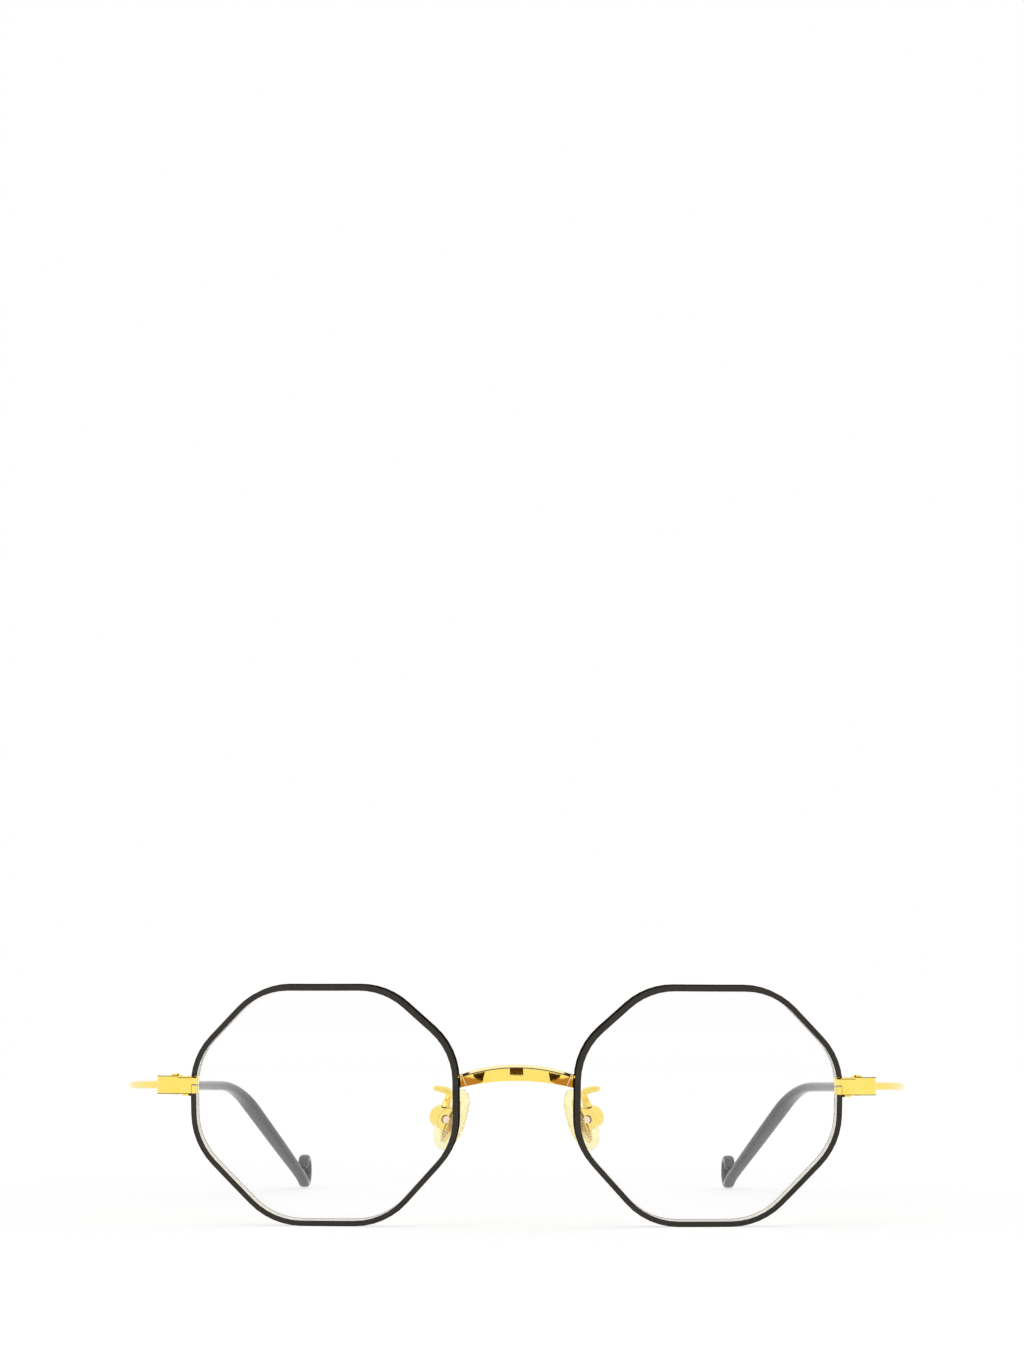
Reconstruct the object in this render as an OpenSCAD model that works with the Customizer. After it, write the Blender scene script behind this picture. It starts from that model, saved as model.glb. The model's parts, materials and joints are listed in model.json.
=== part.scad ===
// Octagonal metal eyeglasses, open, standing on the rims' lower edges and the temple tips.
// Left and right are the wearer's. +X is the wearer's left, -Y the front, +Z up, and z = 0 the table.
// Every sub-part is drawn for the wearer's left side and mirrored for the right one.

/* [Lenses] */
// Width of one lens from edge to edge
lens_w = 46.3; // [44:0.1:49]
// Height of one lens from edge to edge
lens_h = 41.4; // [39:0.2:44]
// Gap between the two lenses at the nose
lens_gap = 22; // [21:0.5:25]
// Length of the octagon's upper side
top_flat = 22.2; // [19:0.1:24]
// Length of the octagon's lower side
bottom_flat = 19.9; // [17:0.1:22]
// Length of the octagon's side next to the nose
nasal_flat = 16.5; // [15:0.1:19]
// Length of the octagon's side next to the temple
temporal_flat = 14.8; // [14:0.1:17]
// Shift of the lower side towards the nose
bottom_shift = 0.5; // [0:0.1:2]
// Rise of the nasal side above the lens's middle
nasal_rise = 1.5; // [0:0.1:2.5]
// Rise of the temporal side above the lens's middle
temporal_rise = 0.9; // [0:0.1:2]
// Corner radius at the lens's edge
corner_r = 12; // [7:0.1:13]
// Radius of the base curve that lens and rim follow
base_r = 131; // [115:1:180]
// Thickness of the lens
lens_t = 1.2; // [1:0.1:1.4]
// Set-back of the lens's front face behind the rim's
lens_recess = 0.6; // [0.5:0.1:0.8]
// Thickness of the bevel on the lens's edge
bevel_t = 0.7; // [0.5:0.1:0.8]

/* [Rims] */
// Depth of the rim from front to back
rim_depth = 2.6; // [2.4:0.1:3.2]
// Metal outside the lens's edge
rim_wall = 0.5; // [0.4:0.05:0.8]
// Height of the rim's lips over the lens's edge
rim_lip = 0.3; // [0.25:0.05:0.5]
// Thickness of the enamel on the rim's front and outer wall
enamel_t = 0.2; // [0.15:0.05:0.3]
// Bare metal that the enamel leaves at the rim's back edge
enamel_stop = 0.3; // [0.2:0.1:0.8]
// Backward turn of each eye about the vertical, in degrees
wrap = 5.5; // [3:0.5:7]
// Forward lean of the front's top, in degrees
lean = 7; // [5:0.5:8]

/* [Bridge] */
// Height of the bridge's lower edge above the lenses' middle, at its centre
bridge_rise = 4.95; // [3:0.05:6]
// Height of the bridge at its centre
bridge_h = 2.7; // [2.4:0.1:3.4]
// Thickness of the bridge from front to back
bridge_t = 1.5; // [1.2:0.1:1.8]
// Forward bow of the bridge's centre from its ends
bridge_bow = 1.8; // [1:0.1:2.4]
// Radius of the arch along the upper edge
bridge_top_r = 27; // [25:0.2:34]
// Radius of the arch along the lower edge
bridge_low_r = 35; // [33:0.2:44]
// Length of the foot between the bridge's seam and the rim
bridge_foot = 0.75; // [0.5:0.05:1.2]
// Width and depth of the seam
seam = 0.12; // [0.08:0.02:0.2]

/* [End pieces] */
// Height of the end piece's middle above the lenses' middle
end_rise = 3.85; // [3:0.05:5]
// Height of the end piece
end_h = 3.1; // [2.6:0.1:3.3]
// Reach of the end piece outside the rim
end_reach = 6.4; // [5.5:0.1:7]
// Thickness of the end piece's bar and leg
end_t = 1.8; // [1.6:0.1:2]
// Length of the end piece from its front to the hinge's butt joint
end_leg = 4.85; // [4.6:0.05:5.5]
// Distance that the end piece stands proud of the rim's front
end_proud = 0.45; // [0.35:0.05:0.7]
// Distance that the closing block stands proud of the rim's back
end_back = 0.35; // [0.2:0.05:0.6]
// Radius of the end piece's outer corner
end_corner_r = 1.7; // [1:0.1:1.7]
// Chamfer on the upper front edge of the closing block
end_chamfer = 0.3; // [0.2:0.05:0.4]
// Length of the closing block outside the rim
block_l = 2.2; // [2.1:0.1:2.6]
// Thickness of the front plate that hides the closing block
plate_t = 0.8; // [0.6:0.05:0.9]
// Width of the hairline between the front plate and the closing block beside it
plate_gap = 0.03; // [0.02:0.01:0.1]
// Slit between the two halves that the closing screw draws together
split_gap = 0.1; // [0.05:0.01:0.2]

/* [Screws] */
// Radius of the closing screw
closing_r = 0.6; // [0.45:0.05:0.65]
// Radius of the hinge screw
hinge_pin_r = 0.5; // [0.4:0.05:0.6]
// Radius of the pad box's screw
pad_pin_r = 0.35; // [0.3:0.05:0.4]
// Width of a screw head's rim around its shaft
head_rim = 0.32; // [0.25:0.01:0.4]
// Height of the screw heads
head_h = 0.4; // [0.3:0.05:0.6]
// Width and depth of the slot in a screw head
slot = 0.2; // [0.15:0.05:0.25]

/* [Hinges] */
// Outer radius of the hinge's knuckles
knuckle_r = 1; // [0.9:0.05:1.1]
// Thickness of the leaves' plates
leaf_t = 0.5; // [0.4:0.05:0.6]
// Axial play between the knuckles
knuckle_gap = 0.06; // [0.04:0.01:0.1]
// Opening of the butt joint when the temple is open
butt_gap = 0.12; // [0.1:0.01:0.2]

/* [Temples] */
// Diameter of the temple's wire
temple_d = 1.5; // [1.3:0.05:1.6]
// Diameter of the wire's core inside the tip
core_d = 1.1; // [0.9:0.05:1.2]
// Length of the straight foot at the hinge
foot_l = 2.4; // [2.2:0.1:3]
// Length of the bend behind the foot
splay_l = 4; // [3.5:0.1:5]
// Outward heading of the temple behind its first bend, in degrees
splay = 38.2; // [32:0.2:42]
// Length of the bow
bow_l = 37.7; // [34:0.1:42]
// Inward heading of the temple behind its bow, in degrees
toe = 14; // [10:0.5:16]
// Length of the straight run to the ear bend
run_l = 39.8; // [36:0.1:52]
// Fall of the temple between the hinge and the ear bend, in degrees
droop = 0.8; // [0:0.1:1.2]

/* [Temple tips] */
// Length of the straight run that the tip covers in front of the ear bend
sleeve_l = 22; // [16:1:32]
// Diameter of the tip where it starts
sleeve_d = 2.1; // [2:0.05:2.4]
// Length of the ear bend
ear_l = 17.1; // [10:0.1:20]
// Fall of the tip behind the ear bend, in degrees
drop = 31.1; // [30:0.1:42]
// Inward heading of the tip behind the ear bend, in degrees
drop_toe = 19.4; // [15:0.2:26]
// Length in front of the curl over which the tip turns to the curl's heading
wring_l = 4; // [3:0.5:4]
// Inward heading of the curl, in degrees
tip_toe = 3; // [0:0.5:12]
// Width of the tip behind the ear bend
drop_w = 3.8; // [3:0.1:4]
// Width of the tip's end
tip_w = 2.6; // [2.4:0.1:3.4]
// Thickness of the tip's end
tip_t = 1.9; // [1.8:0.05:2]
// Radius of the eyelet in the curl
eyelet_r = 2.15; // [2.05:0.05:2.3]
// Turn of the curl, in degrees
curl_turn = 278; // [276:1:280]
// Length of solid tip between the core's end and the curl
core_stop = 4; // [3:0.5:8]

/* [Nose pads] */
// Distance of the pad's pivot from the middle plane
pad_x = 13.5; // [13.2:0.1:14.5]
// Distance of the pad's pivot behind the rim's back
pad_back = 5.7; // [5.5:0.1:6.5]
// Depth of the pad's pivot below the lenses' middle
pad_drop = 1.8; // [1.6:0.1:2.6]
// Turn of the pad's face away from the middle plane, towards the wearer, in degrees
pad_splay = 38; // [28:1:40]
// Outward slope of the pad from its top to its bottom, in degrees
pad_tilt = 22; // [18:1:24]
// Length of the pad
pad_l = 11.6; // [11.2:0.1:13]
// Width of the pad
pad_w = 7.8; // [7:0.1:8]
// Thickness of the pad
pad_t = 2.2; // [2:0.05:2.3]
// Width of the pad's narrower upper end
pad_top_w = 6; // [5.5:0.1:6.6]
// Height of the pad's middle above its pivot, along the pad
pad_lift = 0.3; // [0:0.1:0.4]
// Distance of the pad's middle from its pivot
pad_offset = 2.5; // [2.45:0.05:2.7]
// Length of the plate inside the pad, before its points are rounded
insert_l = 10.4; // [9:0.1:10.6]
// Width of the plate inside the pad
insert_w = 4.4; // [3.8:0.1:4.6]
// Thickness of the plate inside the pad
insert_t = 0.5; // [0.4:0.05:0.6]
// Width of the boss between the pad box's cheeks
boss_w = 1.2; // [1:0.05:1.3]
// Radius of the boss around the pad's pivot
boss_r = 0.85; // [0.75:0.05:0.9]
// Height of the pad box
box_h = 4.1; // [3.6:0.1:4.2]
// Width of the pad box
box_w = 2.7; // [2.4:0.05:2.8]
// Distance from the pad's pivot to the box's mouth
box_mouth = 1.1; // [1:0.05:1.15]
// Distance from the pad's pivot to the box's back
box_back = 1.6; // [1.3:0.05:1.6]
// Diameter of the pad arm's wire
arm_d = 1.1; // [0.9:0.05:1.2]
// Diameter of the pad arm's foot on the pad box
arm_foot_d = 1.7; // [1.2:0.1:1.8]
// Height above the lens's middle at which the pad arm leaves the rim
arm_rise = 1.4; // [1:0.1:2]

/* [Fits] */
// Radial clearance of the screws in their holes
fit = 0.02; // [0.02:0.005:0.03]
// Clearance of the lens in its groove
groove_fit = 0.03; // [0.02:0.005:0.04]
// Radial clearance of the core in the tip
core_fit = 0.03; // [0.02:0.01:0.05]
// Side clearance of the boss in the pad box
boss_fit = 0.08; // [0.06:0.01:0.1]

/* [Hidden] */

gold = "gold";
black = "#1a1a1a";
clear = [0.85, 0.92, 0.95, 0.35];

$fn = 48;
ball_fn = 200;
corner_steps = 6;

// The lens's outline: corners against the clock, as [temporal, up] from its middle.
lens_corners = [
  [lens_w / 2, temporal_rise - temporal_flat / 2],
  [lens_w / 2, temporal_rise + temporal_flat / 2],
  [top_flat / 2, lens_h / 2],
  [-top_flat / 2, lens_h / 2],
  [-lens_w / 2, nasal_rise + nasal_flat / 2],
  [-lens_w / 2, nasal_rise - nasal_flat / 2],
  [-bottom_shift - bottom_flat / 2, -lens_h / 2],
  [-bottom_shift + bottom_flat / 2, -lens_h / 2]
];

// Outward normal of a polygon's side i
function side_normal(c, i) =
  let (d = c[(i + 1) % len(c)] - c[i % len(c)])
  [d.y, -d.x] / norm(d);

// A convex outline with its corners rounded to radius r, then grown by that many millimetres
function rounded(c, r, grow = 0, steps = corner_steps) = [
  for (i = [0 : len(c) - 1])
    let (a = side_normal(c, i + len(c) - 1), b = side_normal(c, i))
    let (centre = c[i] - r * (a + b) / (1 + a * b))
    let (from = atan2(a.y, a.x), turn = (atan2(b.y, b.x) - from + 360) % 360)
    for (k = [0 : steps])
      let (at = from + turn * k / steps)
      centre + (r + grow) * [cos(at), sin(at)]
];

// How far a sphere of radius r falls back at the place [u, v] of the eye
function sag(u, v, r = base_r) = r - sqrt(r * r - u * u - v * v);

eye_x = (lens_w + lens_gap) / 2;
outer_h = lens_h / 2 + rim_wall + enamel_t;
eye_z = outer_h * cos(lean) - (sag(0, outer_h, base_r + enamel_t) - enamel_t) * sin(lean);

// A point of the eye, temporal u, back w and up v, in the front's frame
function eye_point(u, w, v) =
  let (back = w * cos(lean) - v * sin(lean))
  [
    eye_x + u * cos(wrap) - back * sin(wrap),
    u * sin(wrap) + back * cos(wrap),
    eye_z + w * sin(lean) + v * cos(lean)
  ];

// Places on the end piece, in plan
end_z = eye_z + end_rise;
end_low = end_z - end_h / 2;
end_high = end_z + end_h / 2;
rim_side_u = lens_w / 2 + rim_wall;
rim_side = eye_point(rim_side_u, sag(rim_side_u, end_rise) + rim_depth / 2, end_rise / cos(lean));
end_front_y = rim_side.y - rim_depth / 2 - end_proud;
block_back_y = rim_side.y + rim_depth / 2 + end_back;
end_in_x = rim_side.x - 2 * (rim_wall + rim_lip);
end_out_x = rim_side.x + end_reach;
leg_x = end_out_x - end_t;
butt_y = end_front_y + end_leg;
block_out_x = rim_side.x + block_l;
plate_x = rim_side.x + enamel_t;
closing_at = [rim_side.x + block_l / 2 + 0.05, (end_front_y + plate_t + block_back_y) / 2];

// Hinge axis and levels
hinge_at = [leg_x - knuckle_r - 0.05, butt_y + butt_gap / 2];
knuckle_h = (end_h - 2 * knuckle_gap) / 3;
knuckle_z = [for (k = [0 : 2]) end_low + k * (knuckle_h + knuckle_gap)];

// Bridge
bridge_z = eye_z + bridge_rise;
rim_nose_u = -(lens_w / 2 + rim_wall);
bridge_end = eye_point(rim_nose_u, sag(rim_nose_u, bridge_rise) + rim_depth / 2, bridge_rise);
bridge_front_y = bridge_end.y - bridge_t / 2 - bridge_bow;
bridge_bow_r = (bridge_end.x * bridge_end.x + bridge_bow * bridge_bow) / (2 * bridge_bow);

// Stations along the temple, measured from the butt joint
foot_s = foot_l;
splay_s = foot_s + splay_l;
bow_s = splay_s + bow_l;
ear_s = bow_s + run_l;
drop_s = ear_s + ear_l;
curl_r = eyelet_r + tip_t * 0.4;
ear_r = ear_l / ((drop - droop) * PI / 180);
ear_z = end_z - ear_s * sin(droop);
drop_z = ear_z - ear_r * (cos(droop) - cos(drop));
curl_z = curl_r + tip_t / 2;
drop_l = (drop_z - curl_z + curl_r * cos(drop)) / sin(drop);
curl_s = drop_s + drop_l;
end_s = curl_s + curl_r * curl_turn * PI / 180;
nose_l = tip_t / 3;
tip_s = end_s + nose_l;
sleeve_s = ear_s - sleeve_l;
core_s = curl_s - core_stop;

// Headings along the temple, in degrees: outward, and downward
function heading(s) = lookup(s, [
  [0, 0], [foot_s, 0], [splay_s, splay], [bow_s, -toe], [ear_s, -toe],
  [drop_s, -drop_toe], [curl_s - wring_l, -drop_toe], [curl_s, -tip_toe], [tip_s, -tip_toe]
]);
function fall(s) = lookup(s, [
  [0, droop], [ear_s, droop], [drop_s, drop], [curl_s, drop],
  [end_s, drop - curl_turn], [tip_s, drop - curl_turn]
]);
function along(s) = [sin(heading(s)) * cos(fall(s)), cos(heading(s)) * cos(fall(s)), -sin(fall(s))];
function across(s) = [cos(heading(s)), -sin(heading(s)), 0];
function above(s) = [sin(heading(s)) * sin(fall(s)), cos(heading(s)) * sin(fall(s)), cos(fall(s))];

// The chord from station a to station b
function chord(a, b) =
  let (turn = norm([heading(b) - heading(a), fall(b) - fall(a)]))
  let (part = turn < 0.01 ? 1 : sin(turn / 2) / (turn / 2 * PI / 180))
  (b - a) * part * along((a + b) / 2);

function steps(a, b, n) = [for (i = [1 : n]) a + (b - a) * i / n];

// Every station of the temple and its tip: close together in the bends
stations = concat(
  [0, 0.2],
  steps(0.2, foot_s, 2),
  steps(foot_s, splay_s, 6),
  steps(splay_s, bow_s, 14),
  [sleeve_s, sleeve_s + 0.01, sleeve_s + 0.2],
  steps(sleeve_s + 0.2, ear_s, 3),
  steps(ear_s, drop_s, 8),
  steps(drop_s, core_s, 3),
  steps(core_s, curl_s, 4),
  steps(curl_s, end_s, 24),
  [for (t = [0.35, 0.65, 0.85, 0.97]) end_s + t * nose_l]
);
temple_start = [end_out_x - end_t / 2, butt_y + butt_gap, end_z];
places = [
  for (
    i = 0, p = temple_start;
    i < len(stations);
    p = i + 1 < len(stations) ? p + chord(stations[i], stations[i + 1]) : p, i = i + 1
  ) p
];

// Signed power, for a section between an ellipse and a rounded rectangle
function bulge(x, n) = sign(x) * pow(abs(x), 2 / n);

// The section at place p and station s: width a, height b and squareness n
function section(p, s, a, b, n, sides) = [
  for (k = [0 : sides - 1])
    let (t = 360 * (k + 0.5) / sides)
    p + across(s) * bulge(cos(t), n) * a / 2 + above(s) * bulge(sin(t), n) * b / 2
];

// Shape of the bare temple, and of its core in the tip
function temple_ring(p, s) = section(
  p, s,
  lookup(s, [[foot_s, end_t], [splay_s, temple_d], [sleeve_s, temple_d], [sleeve_s + 0.01, core_d]]),
  lookup(s, [[foot_s, end_h], [splay_s, temple_d], [sleeve_s, temple_d], [sleeve_s + 0.01, core_d]]),
  lookup(s, [[foot_s, 9], [splay_s, 2]]),
  16
);

// Shape of the tip: round at its start, a band at the curl, and rounded off at its end
tip_square = 3.5;
function nose(s) = s <= end_s ? 1 : sqrt(1 - pow((s - end_s) / nose_l, 2));
function tip_ring(p, s) = section(
  p, s,
  nose(s) * lookup(s, [
    [sleeve_s, sleeve_d], [ear_s, sleeve_d + 0.3], [drop_s, drop_w], [curl_s, tip_w], [tip_s, tip_w]
  ]),
  nose(s) * lookup(s, [[sleeve_s, sleeve_d], [ear_s, sleeve_d], [curl_s, tip_t], [tip_s, tip_t]]),
  lookup(s, [[sleeve_s, 2], [ear_s, 2.2], [curl_s, tip_square], [tip_s, tip_square]]),
  16
);
function channel_ring(p, s) = section(p, s, core_d + 2 * core_fit, core_d + 2 * core_fit, 2, 16);

curl_i = [for (i = [0 : len(stations) - 1]) if (stations[i] >= curl_s - 0.001) i][0];
eyelet_at = places[curl_i] + curl_r * above(curl_s);

// The model stands with the middle of its box over the origin
tail_n = tip_square / (tip_square - 1);
tail_reach = pow(pow(tip_t / 2 * cos(tip_toe), tail_n) + pow(tip_w / 2 * sin(tip_toe), tail_n), 1 / tail_n);
tail_y = eyelet_at.y + curl_r * cos(tip_toe) + tail_reach;
front_y = bridge_front_y * cos(lean) - bridge_h * sin(lean);
middle_y = -(tail_y + front_y) / 2;

// Nose pad's pivot, and the pad arm's route from the rim's back to the pad box
rim_back = eye_point(rim_nose_u, sag(rim_nose_u, 0) + rim_depth, 0);
pivot = [pad_x, rim_back.y + pad_back, eye_z - pad_drop];
arm_root = eye_point(
  -lens_w / 2 + 0.1, sag(lens_w / 2, arm_rise) + rim_depth - 0.2, arm_rise
);
arm_route = [
  arm_root,
  arm_root + [0.2, 1.2, 0.2],
  arm_root + [1.5, 2.6, 0.8],
  arm_root + [2.9, 3.6, 1.3],
  arm_root + [3.6, 4.7, 1.4],
  arm_root + [3.1, 5.8, 1.3],
  pivot + [-1.25, 0.6, 4.75],
  pivot + [-1.35, 0.35, 3.75],
  pivot + [-1.0, 0.1, 2.7],
  pivot + [-0.75, 0, 1.75]
];

// A smooth curve through the points of a route: n places from point i to the next
function on_route(c, i, t) =
  let (
    a = c[max(i - 1, 0)], b = c[i], d = c[i + 1], e = c[min(i + 2, len(c) - 1)],
    m = (d - a) / 2, w = (e - b) / 2
  )
  b * (2 * pow(t, 3) - 3 * t * t + 1) + m * (pow(t, 3) - 2 * t * t + t)
  + d * (3 * t * t - 2 * pow(t, 3)) + w * (pow(t, 3) - t * t);

arm_steps = 3;
arm_line = [
  for (i = [0 : len(arm_route) - 2], k = [0 : arm_steps - 1]) on_route(arm_route, i, k / arm_steps),
  arm_route[len(arm_route) - 1]
];

function unit(v) = v / norm(v);
function tangent(c, i) = unit(c[min(i + 1, len(c) - 1)] - c[max(i - 1, 0)]);

// Side vectors along a line that don't twist
function carried(c) = [
  for (
    i = 0, n = unit(cross(tangent(c, 0), [0, 0, 1]));
    i < len(c);
    n = i + 1 < len(c) ? unit(n - tangent(c, i + 1) * (n * tangent(c, i + 1))) : n, i = i + 1
  ) n
];

// Rings of a round wire along a line, which widens from d to foot_d over its last steps
function wire_rings(c, d, foot_d, foot_steps, sides) =
  let (n = carried(c), last = len(c) - 1)
  [
    for (i = [0 : last])
      let (u = n[i], v = cross(tangent(c, i), u))
      let (r = lookup(i, [[last - foot_steps, d / 2], [last, foot_d / 2]]))
      [for (k = [0 : sides - 1]) c[i] + r * (u * cos(360 * k / sides) + v * sin(360 * k / sides))]
  ];

// A closed skin over rings of equal length
module skin(rings) {
  m = len(rings);
  n = len(rings[0]);
  walls = [
    for (i = [0 : m - 2], k = [0 : n - 1])
      let (a = i * n + k, b = i * n + (k + 1) % n)
      each [[a, b, b + n], [a, b + n, a + n]]
  ];
  first = [for (k = [n - 1 : -1 : 0]) k];
  last = [for (k = [0 : n - 1]) (m - 1) * n + k];
  polyhedron([for (r = rings) each r], concat(walls, [first], [last]), convexity = 6);
}

module left() {
  translate([0, middle_y, 0]) children();
}

module right() {
  translate([0, middle_y, 0]) mirror([1, 0, 0]) children();
}

module place_eye() {
  translate([eye_x, 0, eye_z]) rotate([0, 0, wrap]) rotate([lean, 0, 0]) children();
}

// The lens's outline, grown, as a long prism through the eye
module eye_prism(grow) {
  rotate([90, 0, 0]) translate([0, 0, -10]) linear_extrude(16) polygon(rounded(lens_corners, corner_r, grow));
}

// The ball that the base curve lies on, that far behind the rim's front
module eye_ball(back) {
  translate([0, base_r, 0]) sphere(r = base_r - back, $fn = ball_fn);
}

// A slab of the eye between two depths
module eye_slab(grow, front, back) {
  difference() {
    intersection() {
      eye_prism(grow);
      eye_ball(front);
    }
    eye_ball(back);
  }
}

bevel_front = lens_recess + (lens_t - bevel_t) / 2;

// The room that the lens's bevel has in the rim and in the closing blocks
module groove() {
  eye_slab(groove_fit, bevel_front - groove_fit, bevel_front + bevel_t + groove_fit);
}

// Everything on the temporal side between the end piece's upper and lower faces
module end_level() {
  translate([eye_x, -10, end_low]) cube([lens_w, 30, end_h]);
}

module rim() {
  color(gold)
  difference() {
    place_eye()
    difference() {
      eye_slab(rim_wall, 0, rim_depth);
      eye_prism(-rim_lip);
      groove();
    }
    end_level();
  }
}

module rim_enamel() {
  color(black)
  difference() {
    place_eye()
    difference() {
      eye_slab(rim_wall + enamel_t, -enamel_t, rim_depth - enamel_stop);
      eye_prism(-rim_lip);
      eye_slab(rim_wall, 0, rim_depth);
    }
    end_level();
    bridge_bar(bridge_t);
  }
}

module lens() {
  color(clear)
  place_eye() {
    eye_slab(-rim_lip - groove_fit, lens_recess, lens_recess + lens_t);
    eye_slab(0, bevel_front, bevel_front + bevel_t);
  }
}

// The bridge's bar before the rims cut its ends
module bridge_bar(thick) {
  translate([0, 0, bridge_z]) rotate([lean, 0, 0])
  difference() {
    intersection() {
      translate([0, bridge_front_y + bridge_bow_r, -bridge_h])
      difference() {
        cylinder(r = bridge_bow_r, h = 3 * bridge_h, $fn = ball_fn);
        translate([0, 0, -1]) cylinder(r = bridge_bow_r - thick, h = 3 * bridge_h + 2, $fn = ball_fn);
      }
      translate([0, 0, bridge_h - bridge_top_r]) rotate([90, 0, 0])
        cylinder(r = bridge_top_r, h = 20, center = true, $fn = ball_fn);
      translate([-bridge_end.x - 1, -10, -bridge_h]) cube([2 * bridge_end.x + 2, 20, 3 * bridge_h]);
    }
    translate([0, 0, -bridge_low_r]) rotate([90, 0, 0])
      cylinder(r = bridge_low_r, h = 22, center = true, $fn = ball_fn);
  }
}

// The fine slanted seam between the bridge and its foot on the rim
module bridge_seam() {
  translate([bridge_end.x - bridge_foot, bridge_end.y - bridge_t / 2, bridge_z]) rotate([lean, 0, 0])
    rotate([0, 20, 0]) cube([seam, 2 * seam, 4 * bridge_h], center = true);
}

module bridge() {
  color(gold)
  difference() {
    bridge_bar(bridge_t);
    place_eye() eye_prism(rim_wall);
    mirror([1, 0, 0]) place_eye() eye_prism(rim_wall);
    bridge_seam();
    mirror([1, 0, 0]) bridge_seam();
  }
}

// The end piece in plan: a bar along the front that turns back to the hinge
end_plan = concat(
  [[end_in_x, end_front_y]],
  [
    for (k = [0 : 8])
      let (at = -90 + k * 90 / 8)
      [end_out_x - end_corner_r, end_front_y + end_corner_r] + end_corner_r * [cos(at), sin(at)]
  ],
  [[end_out_x, butt_y], [leg_x, butt_y], [leg_x, end_front_y + end_t], [end_in_x, end_front_y + end_t]]
);

// The lower closing block's place, with its slits
module block_space(gap) {
  translate([end_in_x - 1, end_front_y - 1, end_low - 1])
    cube([plate_x - end_in_x + 1, end_t + 2, end_h / 2 + 1 + gap / 2]);
  translate([end_in_x - 1, end_front_y + plate_t, end_low - 1])
    cube([block_out_x + gap - end_in_x + 1, end_leg, end_h / 2 + 1 + gap / 2]);
}

module end_piece() {
  color(gold)
  difference() {
    union() {
      translate([0, 0, end_low]) linear_extrude(end_h) polygon(end_plan);
      translate([end_in_x, end_front_y + 0.1, end_z])
        cube([block_out_x - end_in_x, block_back_y - end_front_y - 0.1, end_h / 2]);
    }
    block_space(split_gap);
    place_eye() {
      eye_prism(-rim_lip);
      groove();
    }
    translate([end_in_x - 1, end_front_y, end_high]) rotate([45, 0, 0])
      translate([0, -1, -end_chamfer / sqrt(2)])
      cube([block_out_x - end_in_x + 1.4, 2, end_chamfer * sqrt(2)]);
    translate([closing_at.x, closing_at.y, end_low]) cylinder(r = closing_r + fit, h = end_h - 0.3);
  }
}

module closing_block() {
  color(gold)
  difference() {
    translate([end_in_x, end_front_y, end_low])
      cube([block_out_x - split_gap - end_in_x, block_back_y - end_front_y, end_h / 2 - split_gap]);
    translate([plate_x - plate_gap, end_front_y - 1, end_low - 1])
      cube([block_l, plate_t + split_gap + 1, end_h]);
    place_eye() {
      eye_prism(-rim_lip);
      groove();
    }
    translate([closing_at.x, closing_at.y, end_low - 1]) cylinder(r = closing_r + fit, h = end_h);
  }
}

// A slotted screw along +Z with its head below z = 0
module screw(r, length) {
  difference() {
    union() {
      cylinder(r = r, h = length);
      translate([0, 0, -head_h]) cylinder(r = r + head_rim, h = head_h);
    }
    translate([-r - head_rim - 1, -slot / 2, -head_h - 1]) cube([2 * (r + head_rim + 1), slot, 1 + slot]);
  }
}

module closing_screw() {
  color(gold)
  translate([closing_at.x, closing_at.y, end_low]) screw(closing_r, end_h - 0.4);
}

module knuckle(level, grow = 0) {
  translate([hinge_at.x, hinge_at.y, knuckle_z[level] - grow])
    cylinder(r = knuckle_r + grow, h = knuckle_h + 2 * grow);
}

module pin_hole() {
  translate([hinge_at.x, hinge_at.y, end_low - 1]) cylinder(r = hinge_pin_r + fit, h = end_h + 2);
}

// The leaf on the end piece carries the upper and lower knuckles
module front_hinge() {
  color(gold)
  difference() {
    union() {
      knuckle(0);
      knuckle(2);
      for (z = [knuckle_z[0], knuckle_z[2]])
        translate([hinge_at.x, hinge_at.y - 0.8 * knuckle_r, z])
          cube([leg_x - hinge_at.x, 0.8 * knuckle_r - butt_gap / 2, knuckle_h]);
      translate([leg_x - leaf_t, end_front_y + end_t, end_low])
        cube([leaf_t, butt_y - end_front_y - end_t, end_h]);
    }
    knuckle(1, knuckle_gap);
    pin_hole();
  }
}

// The leaf on the temple carries the middle knuckle
module temple_hinge() {
  color(gold)
  difference() {
    union() {
      knuckle(1);
      translate([hinge_at.x, hinge_at.y + butt_gap / 2, knuckle_z[1]])
        cube([leg_x - hinge_at.x, 0.8 * knuckle_r - butt_gap / 2, knuckle_h]);
      translate([leg_x - leaf_t, butt_y + butt_gap, end_low + 0.2])
        cube([leaf_t, foot_l - 0.3, end_h - 0.4]);
    }
    knuckle(0, knuckle_gap);
    knuckle(2, knuckle_gap);
    pin_hole();
  }
}

module hinge_screw() {
  color(gold)
  translate([hinge_at.x, hinge_at.y, end_high]) rotate([180, 0, 0]) screw(hinge_pin_r, end_h + 0.2);
}

module temple() {
  color(gold)
  skin([
    for (i = [0 : len(stations) - 1])
      if (stations[i] <= core_s + 0.001) temple_ring(places[i], stations[i])
  ]);
}

module temple_tip() {
  color(black)
  difference() {
    skin([
      for (i = [0 : len(stations) - 1])
        if (stations[i] >= sleeve_s + 0.005) tip_ring(places[i], stations[i])
    ]);
    skin([
      for (i = [0 : len(stations) - 1])
        if (stations[i] >= sleeve_s - 0.001 && stations[i] <= core_s + 0.001)
          channel_ring(places[i], stations[i])
    ]);
    translate(eyelet_at) rotate([0, 0, tip_toe]) rotate([0, 90, 0])
      cylinder(r = eyelet_r, h = 2 * tip_w, center = true);
  }
}

module pad_arm() {
  color(gold)
  skin(wire_rings(arm_line, arm_d, arm_foot_d, 2 * arm_steps, 12));
}

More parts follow.
